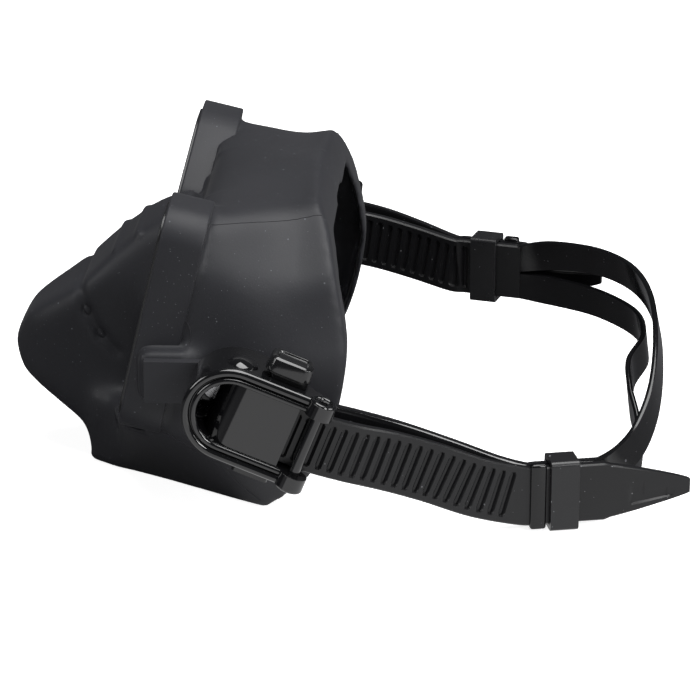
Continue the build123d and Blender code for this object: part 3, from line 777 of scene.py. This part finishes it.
@dataclass
class Buckle:
    """One swivelling push-button buckle with its anchor, roller and latch bar."""

    side: Side
    paints: Paints

    @property
    def place(self) -> BucklePlace:
        """The buckle's own axes."""
        return BucklePlace(self.side)

    def build(self) -> None:
        """Builds every piece of the buckle."""
        word = self.side.word
        gloss = self.paints.of(GLOSS_PLASTIC)
        silicone = self.paints.of(SKIRT_SILICONE)
        rounded_node(f"buckle_anchor_{word}", silicone, "mask", 0.5 * MM, "anchor_plastic")
        rounded_node(f"buckle_body_{word}", gloss, "strap", 0.45 * MM, "buckle_plastic")
        rounded_node(f"buckle_cover_{word}", gloss, "strap", 0.5 * MM, "buckle_plastic")
        rounded_node(f"strap_roller_{word}", gloss, f"roller_{word}", 0.3 * MM, "buckle_plastic")
        rounded_node(f"latch_bar_{word}", gloss, f"latch_{word}", 0.2 * MM, "buckle_plastic")
        for level in ("upper", "lower"):
            rounded_node(f"release_button_{level}_{word}", self.paints.of(BUTTON_PLASTIC),
                         f"{level}_button_{word}", 0.55 * MM, "button_plastic")
            repaint(f"button_spring_{level}_{word}", self.paints.of(STEEL))
        repaint(f"pivot_pin_{word}", self.paints.of(STEEL))
        repaint(f"roller_pin_{word}", self.paints.of(STEEL))
        settle(self.rim_beads(), "strap", "buckle_plastic")
        settle(self.boss_rings(), "strap", "buckle_plastic")
        settle(self.hump(), "strap", "buckle_plastic")
        settle(self.lower_lobe(), "strap", "buckle_plastic")
        settle(self.button_cap("upper", 1), f"upper_button_{word}", "button_plastic")
        settle(self.button_cap("lower", -1), f"lower_button_{word}", "button_plastic")

    def outline(self, half: float, end: float) -> list[tuple[float, float]]:
        """Places along and up the buckle round the horseshoe, from the upper end to the lower.

        Args:
            half: Half of its height.
            end: How far back its ends reach.

        Returns:
            The places, in millimetres.
        """
        bow = 5.6
        upper = [(end - (end - bow) * k / 8, half) for k in range(8)]
        round_part = [(bow - half * math.sin(a), half * math.cos(a))
                      for a in (math.pi * k / 24 for k in range(25))]
        lower = [(bow + (end - bow) * k / 8, -half) for k in range(1, 9)]
        return upper + round_part + lower

    def rim_beads(self) -> bpy.types.Object:
        """The two raised beads that run round the outer edge of the horseshoe.

        Returns:
            Both beads as one piece.
        """
        joined = bmesh.new()
        for half, radius, out in ((12.1, 1.25, 86.3), (9.9, 0.9, 86.6)):
            route = self.outline(half, 24.0)
            rings = []
            for i, (along, up) in enumerate(route):
                before, after = route[max(i - 1, 0)], route[min(i + 1, len(route) - 1)]
                turn = math.atan2(after[1] - before[1], after[0] - before[0])
                rings.append([
                    self.place.at(along - math.sin(turn) * radius * math.cos(a),
                                  up + math.cos(turn) * radius * math.cos(a), out + radius * math.sin(a))
                    for a in (math.tau * k / 12 for k in range(12))])
            add_to(joined, skin(rings))
        return piece_from(joined, f"buckle_rim_{self.side.word}", self.paints.of(GLOSS_PLASTIC))

    def set_in_place(self, bm: bmesh.types.BMesh) -> None:
        """Moves a mesh made in buckle axes (along, up, out, in millimetres) to where it belongs."""
        for vert in bm.verts:
            vert.co = self.place.at(vert.co.x, vert.co.y, vert.co.z)
        bmesh.ops.recalc_face_normals(bm, faces=bm.faces)

    def button_cap(self, level: str, way: int) -> bpy.types.Object:
        """The stepped cap of one push button, with a sunk panel on top.

        Args:
            level: Which button.
            way: 1 for the upper button, -1 for the lower.

        Returns:
            The cap.
        """
        bm = bmesh.new()
        tall, base = (3.9, 14.6) if way > 0 else (1.2, 15.2)
        long, wide = (12.8, 9.6) if way > 0 else (9.0, 7.0)
        bmesh.ops.create_cube(bm, size=1.0)
        for vert in bm.verts:
            vert.co = Vector((vert.co.x * long + 16.2, way * (base + (vert.co.y + 0.5) * tall),
                              vert.co.z * wide + 78.8))
        bmesh.ops.recalc_face_normals(bm, faces=bm.faces)
        corners = [e for e in bm.edges if abs(e.verts[0].co.y - e.verts[1].co.y) > 0.5]
        bmesh.ops.bevel(bm, geom=corners, offset=2.6, offset_type="OFFSET", segments=3, profile=0.5,
                        affect="EDGES", material=-1)
        top = [f for f in bm.faces if f.normal.y * way > 0.9]
        bmesh.ops.inset_region(bm, faces=top, thickness=0.9, depth=0.5, use_even_offset=True)
        bmesh.ops.inset_region(bm, faces=top, thickness=0.8, use_even_offset=True)
        bmesh.ops.inset_region(bm, faces=top, thickness=0.35, depth=-0.6, use_even_offset=True)
        for vert in bm.verts:
            share = (abs(vert.co.y) - base) / tall
            vert.co.x = 16.2 + (vert.co.x - 16.2) * (1 - 0.07 * share)
            vert.co.z = 78.8 + (vert.co.z - 78.8) * (1 - 0.10 * share)
        round_edges(bm, 0.3, segments=2, angle=22.0)
        self.set_in_place(bm)
        return piece_from(bm, f"button_cap_{level}_{self.side.word}", self.paints.of(BUTTON_PLASTIC),
                          sharp=35.0)

    def boss_rings(self) -> bpy.types.Object:
        """The raised ring on each of the two bosses that hold the latch bar's ends.

        Returns:
            Both rings as one piece.
        """
        joined = bmesh.new()
        for way in (1, -1):
            centre = (27.6, 86.4)
            rings = []
            for step in range(37):
                turn = math.tau * step / 36
                rings.append([
                    self.place.at(centre[0] + (3.1 + 0.7 * math.cos(a)) * math.cos(turn),
                                  way * (13.0 + 0.6 * math.sin(a)),
                                  centre[1] + (3.1 + 0.7 * math.cos(a)) * math.sin(turn))
                    for a in (math.tau * k / 10 for k in range(10))])
            add_to(joined, skin(rings, caps=False))
        bmesh.ops.remove_doubles(joined, verts=joined.verts, dist=1e-6)
        return piece_from(joined, f"boss_rings_{self.side.word}", self.paints.of(GLOSS_PLASTIC))

    def hump(self) -> bpy.types.Object:
        """The low swelling on the upper wall in front of the button.

        Returns:
            The swelling.
        """
        bm = bmesh.new()
        bmesh.ops.create_uvsphere(bm, u_segments=28, v_segments=16, radius=1.0)
        for vert in bm.verts:
            vert.co = Vector((vert.co.x * 4.6 + 4.4, vert.co.y * 2.4 + 11.9, vert.co.z * 5.2 + 79.4))
        self.set_in_place(bm)
        return piece_from(bm, f"buckle_hump_{self.side.word}", self.paints.of(GLOSS_PLASTIC))

    def lower_lobe(self) -> bpy.types.Object:
        """The satin half-round lobe under the buckle's round front.

        Returns:
            The lobe.
        """
        bm = bmesh.new()
        bmesh.ops.create_cone(bm, cap_ends=True, segments=48, radius1=6.6, radius2=6.6, depth=5.0)
        for vert in bm.verts:
            vert.co += Vector((4.4, -11.3, 73.2))
        round_edges(bm, 0.9, segments=3, angle=50.0)
        self.set_in_place(bm)
        return piece_from(bm, f"buckle_lobe_{self.side.word}", self.paints.of(SATIN_PLASTIC))


@dataclass
class Strap:
    """The moulded strap: two ribbed free ends and the split part behind the head."""

    paints: Paints
    width: float = 17.0
    thick: float = 2.7
    step: float = 0.33
    groove_pitch: float = 3.3
    groove_half: float = 0.62
    groove_depth: float = 1.0
    roller_bend: float = 4.95       # the bend's radius at the strap's middle
    tip_length: float = 25.4        # the spear past the keeper
    main_points: dict = field(default_factory=lambda: {
        Side.LEFT: [(69.6, 4, 29.6), (66.4, 15, 25.2), (63.4, 29, 19.2), (60.8, 42, 13.4)],
        Side.RIGHT: [(-70.8, 6, 40.4), (-66.9, 17, 38.5)]})
    tail_points: dict = field(default_factory=lambda: {
        Side.LEFT: [(79.9, 4, 29.6), (75.0, 14.5, 25.4), (70.9, 26, 20.6), (66.6, 39, 14.6)],
        Side.RIGHT: [(-79.2, 7, 40.2), (-72.6, 18.5, 38.2)]})
    upper_points: list = field(default_factory=lambda: [
        (-51.5, 61, 43.2), (-43.5, 74, 44), (-30.5, 84, 43), (-13, 89, 40), (6, 90, 33.5),
        (24, 88.3, 25.5), (38, 84, 19), (47.5, 78.5, 16)])
    lower_points: list = field(default_factory=lambda: [
        (-51.8, 61, 31.4), (-43.5, 74.5, 30.5), (-30, 85, 29), (-15, 87, 27), (-2, 82.5, 23.6),
        (9, 82.5, 19.2), (22, 84.5, 13), (36, 82.3, 8.2), (47, 77.7, 6.4)])

    def build(self) -> None:
        """Builds both ribbons and both narrow bands."""
        left = self.ribbon(Side.LEFT)
        settle(left, "strap", "strap_silicone", "head_strap")
        settle(self.ribbon(Side.RIGHT), "strap", "strap_silicone")
        settle(self.narrow_band("strap_band_upper", self.upper_points, 1), "strap", "strap_silicone")
        settle(self.narrow_band("strap_band_lower", self.lower_points, -1), "strap", "strap_silicone")
        for side in Side:
            settle(self.stop_lug(side), "strap", "strap_silicone")

    def route(self, side: Side) -> tuple[list[Vector], list[Vector], float]:
        """The ribbon's middle line from the split, round the roller, to the tip.

        Args:
            side: Which ribbon.

        Returns:
            Evenly spaced places, the direction of the strap's width at each, and the length
            at which the free end leaves the buckle.
        """
        buckle, keeper = BucklePlace(side), KeeperPlace(side)
        roller, middle, radius = buckle.roller_along, buckle.roller_out, self.roller_bend
        inner, outer = middle - radius, middle + radius
        main = [keeper.at(Layer.MAIN, 11.5 - 22.5 * k / 6) for k in range(7)]
        main += [mm_point(*p) for p in reversed(self.main_points[side])]
        main += [buckle.at(30 - 21 * k / 6, 0, inner) for k in range(6)]
        turn = [buckle.at(roller - radius * math.sin(a), 0, middle - radius * math.cos(a))
                for a in (math.pi * k / 12 for k in range(13))]
        tail = [buckle.at(roller + 21 * k / 6, 0, outer) for k in range(1, 7)]
        leave = len(main) + len(turn) + len(tail)
        tail += [mm_point(*p) for p in self.tail_points[side]]
        tail += [keeper.at(Layer.TAIL, -11 + 22 * k / 6) for k in range(7)]
        tail += [keeper.at(Layer.TAIL, 11 + self.tip_length * k / 4) for k in range(1, 5)]
        knots = main + turn + tail
        line = smooth_curve(knots, self.step * MM)
        gate = knots[leave - 1]
        at_gate = min(range(len(line) // 3, len(line)), key=lambda i: (line[i] - gate).length)
        ups = []
        for place in line:
            along = (place - buckle.at(0, 0, middle)).y / MM
            ups.append(buckle.up.lerp(UP, ease((along - 28) / 30)).normalized())
        return line, ups, at_gate * self.step

    def ribbon(self, side: Side) -> bpy.types.Object:
        """One ribbed ribbon with its spear-shaped end.

        Args:
            side: Which side it belongs to.

        Returns:
            The ribbon.
        """
        line, ups, gate = self.route(side)
        total = self.step * (len(line) - 1)
        half_across = [0.3, 0.6, 0.69, 0.74, 0.79, 0.86, 0.95, 1]
        across = [-b for b in reversed(half_across)] + [0] + half_across
        back = [1, 0.93, 0.5, 0, -0.5, -0.93, -1]
        rings = []
        for i, place in enumerate(line):
            s = i * self.step
            along = (line[min(i + 1, len(line) - 1)] - line[max(i - 1, 0)]).normalized()
            up = (ups[i] - along * ups[i].dot(along)).normalized()
            out = along.cross(up) * side.value
            half = self.half_width(total - s)
            thick = self.thick * (1 - 0.45 * ease(1 - (total - s) / 20))
            ring = []
            for b in across:
                level = thick / 2 - (0.45 if abs(b) == 1 else 0) - self.carve(s, b, gate, total)
                ring.append(place + up * (b * half * MM) + out * (level * MM))
            for b in back:
                level = -thick / 2 + (0.45 if abs(b) == 1 else 0)
                ring.append(place + up * (b * half * MM) + out * (level * MM))
            rings.append(ring)
        bm = skin(rings)
        self.gloss_back(bm, rings, len(across))
        return piece_from(bm, f"strap_ribbon_{side.word}", self.paints.of(RIBBED_SILICONE),
                          self.paints.of(GLOSS_SILICONE), sharp=38.0)

    def gloss_back(self, bm: bmesh.types.BMesh, rings: list[list[Vector]], first: int) -> None:
        """Gives the smooth face of a ribbon the second, glossy material."""
        glossy = {tuple(round(c, 7) for c in p) for ring in rings for p in ring[first:]}
        for face in bm.faces:
            if all(tuple(round(c, 7) for c in v.co) in glossy for v in face.verts):
                face.material_index = 1

    def half_width(self, to_tip: float) -> float:
        """Half of the ribbon's width so many millimetres before its tip.

        Args:
            to_tip: Millimetres left to the tip.

        Returns:
            Half of the width, in millimetres.
        """
        if to_tip > 25:
            return self.width / 2
        if to_tip > 22:
            return self.width / 2 - 0.8 * ease((25 - to_tip) / 3)
        shape = max(0.0, to_tip / 22)
        return 2.0 + (self.width / 2 - 2.8) * shape ** 0.8

    def carve(self, s: float, b: float, gate: float, total: float) -> float:
        """How deep the ribbed face is cut at a place.

        Args:
            s: Millimetres along the ribbon.
            b: Place across it, -1 to 1.
            gate: Where the free end leaves the buckle.
            total: The ribbon's length.

        Returns:
            The depth in millimetres.
        """
        first, last = gate - 100.0, total - self.tip_length - 22.0 - 4.0
        if first < s < last and abs(b) < 0.78:
            phase = (s - gate - 3.0) % self.groove_pitch
            near = min(phase, self.groove_pitch - phase)
            end = 0.76 - 0.05 * (near / self.groove_half) ** 2
            if near < self.groove_half + 0.2 and abs(b) < end:
                return self.groove_depth * ease((self.groove_half + 0.2 - near) / 0.35)
        to_tip = total - s
        if 4 < to_tip < 18:
            if -0.62 < b < -0.62 + (0.62 * (to_tip - 4) / 14 + 0.2):
                return 0.5 * ease((to_tip - 4) / 3) * ease((18 - to_tip) / 1.5)
        return 0.0

    def narrow_band(self, name: str, points: list, level: int) -> bpy.types.Object:
        """The upper (1) or lower (-1) narrow band behind the head.

        Args:
            name: The piece's name.
            points: Its middle line, in millimetres, from right to left.
            level: Which band.

        Returns:
            The band.
        """
        right, left = KeeperPlace(Side.RIGHT), KeeperPlace(Side.LEFT)
        offset = UP * (level * 4.35 * MM)
        knots = [right.at(Layer.MAIN, 9) + offset, right.at(Layer.MAIN, 11) + offset]
        knots += [mm_point(*p) for p in points]
        knots += [left.at(Layer.MAIN, 11) + offset, left.at(Layer.MAIN, 9) + offset]
        line = smooth_curve(knots, 1.0 * MM)
        count = len(line) - 1
        rings = []
        for i, place in enumerate(line):
            along = (line[min(i + 1, count)] - line[max(i - 1, 0)]).normalized()
            edge = min(i, count - i)
            half = 4.2 + 0.6 * ease(edge / 12)
            thick = 2.6 - 1.0 * ease(edge / 12)
            lean = math.radians(12.0) * ease(edge / 25)
            out = along.cross(UP).normalized()
            up = out.cross(along)
            outwards = math.sin(lean) * (1 if level > 0 else 0.6)
            tipped = (up * math.cos(lean) + out * outwards).normalized()
            face = along.cross(tipped).normalized()
            ring = []
            for b, t in ((-1, 0.3), (-0.93, 1), (-0.45, 1), (0, 1), (0.45, 1), (0.93, 1), (1, 0.3),
                         (1, -0.3), (0.93, -1), (0.45, -1), (0, -1), (-0.45, -1), (-0.93, -1), (-1, -0.3)):
                ring.append(place + tipped * (b * half * MM) + face * (t * thick / 2 * MM))
            rings.append(ring)
        return piece_from(skin(rings), name, self.paints.of(GLOSS_SILICONE), sharp=50.0)

    def stop_lug(self, side: Side) -> bpy.types.Object:
        """The wedge on the free end that keeps the keeper from sliding towards the buckle.

        Args:
            side: Which free end.

        Returns:
            The lug.
        """
        keeper = KeeperPlace(side)
        middle = keeper.at(Layer.TAIL, -7.3 if side is Side.LEFT else 7.3)
        bm = bmesh.new()
        bmesh.ops.create_cube(bm, size=1.0)
        for vert in bm.verts:
            along, up, out = vert.co.x * 4.6, vert.co.y * 19.4, vert.co.z * 2.9 + 0.75
            vert.co = middle + (keeper.along * along + UP * up + keeper.out * out) * MM
        bmesh.ops.recalc_face_normals(bm, faces=bm.faces)
        round_edges(bm, 0.8 * MM, segments=3, angle=50.0)
        return piece_from(bm, f"strap_stop_{side.word}", self.paints.of(GLOSS_SILICONE))


@dataclass
class Keeper:
    """The loop that holds a free end against the main band."""

    side: Side
    paints: Paints

    def build(self) -> None:
        """Rounds the loop's edges."""
        word = self.side.word
        rounded_node(f"strap_keeper_{word}", self.paints.of(KEEPER_RUBBER), f"keeper_{word}", 0.5 * MM,
                     "keeper_rubber")


@dataclass
class Studio:
    """A pale table under large soft lights."""

    def build(self) -> None:
        """Makes the table, the lights and the surrounding light."""
        bm = bmesh.new()
        bmesh.ops.create_grid(bm, x_segments=1, y_segments=1, size=4.0)
        table = piece_from(bm, "table", self.table_paint())
        world = bpy.data.worlds.new("studio")
        bpy.context.scene.world = world
        world.use_nodes = True
        world.node_tree.nodes["Background"].inputs["Color"].default_value = (0.9, 0.93, 1.0, 1.0)
        world.node_tree.nodes["Background"].inputs["Strength"].default_value = 0.06
        self.softbox("overhead", (0.1, 0.15, 0.95), (0.9, 0.7), 11.0, (0, 0, 0.03))
        self.softbox("front_left", (0.55, -0.95, 0.55), (0.5, 0.5), 3.5, (0, 0, 0.03))
        self.softbox("back", (0.1, 1.1, 0.5), (0.8, 0.4), 6.0, (0, 0, 0.05))
        self.softbox("camera_side", (0.9, 0.75, 0.55), (0.35, 0.35), 4.5, (0, 0, 0.03))
        bpy.context.scene.view_settings.view_transform = "Standard"

    def table_paint(self) -> bpy.types.Material:
        """A surface that is bright white to the eye and grey in reflections.

        Returns:
            The table's material.
        """
        paint = bpy.data.materials.new("table white")
        paint.use_nodes = True
        tree = paint.node_tree
        shader = tree.nodes["Principled BSDF"]
        shader.inputs["Roughness"].default_value = 0.6
        shader.inputs["Specular IOR Level"].default_value = 0.2
        shader.inputs["Emission Color"].default_value = (1.0, 1.0, 1.0, 1.0)
        seen = node(tree, "ShaderNodeLightPath").outputs["Is Camera Ray"]
        shade = node(tree, "ShaderNodeMix", {"Factor": seen}, data_type="RGBA")
        shade.inputs["A"].default_value = (0.10, 0.10, 0.105, 1.0)
        shade.inputs["B"].default_value = (0.9, 0.9, 0.9, 1.0)
        tree.links.new(shade.outputs["Result"], shader.inputs["Base Color"])
        place = node(tree, "ShaderNodeTexCoord").outputs["Object"]
        away = node(tree, "ShaderNodeVectorMath", {0: place, 1: (0.24, 0.07, 0.0)}, operation="DISTANCE")
        patch = node(tree, "ShaderNodeMapRange",
                     {"Value": away.outputs["Value"], "From Min": 0.22, "From Max": 0.20,
                      "To Min": 0.0, "To Max": 0.8})
        glow = node(tree, "ShaderNodeMath", {0: patch.outputs["Result"], 1: seen}, operation="MAXIMUM")
        soft = node(tree, "ShaderNodeMath", {0: glow.outputs[0], 1: 0.85}, operation="MULTIPLY")
        tree.links.new(soft.outputs[0], shader.inputs["Emission Strength"])
        return paint

    def softbox(self, name: str, place: tuple, size: tuple, power: float, aim: tuple) -> None:
        """Adds one rectangular light.

        Args:
            name: Its name.
            place: Where it stands.
            size: Its width and height.
            power: Its power in watts.
            aim: The point that it faces.
        """
        light = bpy.data.lights.new(name, "AREA")
        light.shape = "RECTANGLE"
        light.size, light.size_y = size
        light.energy = power
        lamp = bpy.data.objects.new(name, light)
        bpy.context.scene.collection.objects.link(lamp)
        lamp.location = place
        lamp.rotation_euler = (Vector(aim) - Vector(place)).to_track_quat("-Z", "Y").to_euler()


@dataclass
class Viewpoint:
    """The camera: a long lens from the wearer's left, looking a little down."""

    azimuth: float = math.radians(93.0)
    elevation: float = math.radians(20.0)
    distance: float = 0.95
    aim: Vector = field(default_factory=lambda: Vector((0.0, 0.0, 0.03)))
    lens: float = 166.1

    def build(self) -> None:
        """Places the camera and makes it the scene's."""
        flat = math.cos(self.elevation)
        back = Vector((flat * math.sin(self.azimuth), -flat * math.cos(self.azimuth),
                       math.sin(self.elevation)))
        data = bpy.data.cameras.new("camera")
        data.lens = self.lens
        data.sensor_width = 36.0
        data.clip_start = 0.01
        camera = bpy.data.objects.new("camera", data)
        bpy.context.scene.collection.objects.link(camera)
        camera.location = self.aim + back * self.distance
        camera.rotation_euler = (-back).to_track_quat("-Z", "Y").to_euler()
        bpy.context.scene.camera = camera


def main() -> None:
    """Builds the camera, the studio and every piece of the mask."""
    logging.basicConfig(level=logging.INFO, format="%(name)s: %(message)s")
    Viewpoint().build()
    Studio().build()
    paints = Paints()
    Skirt(paints).build()
    for side in Side:
        LensSet(side, paints).build()
        Buckle(side, paints).build()
        Keeper(side, paints).build()
    Strap(paints).build()
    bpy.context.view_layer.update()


if __name__ == "__main__":
    main()
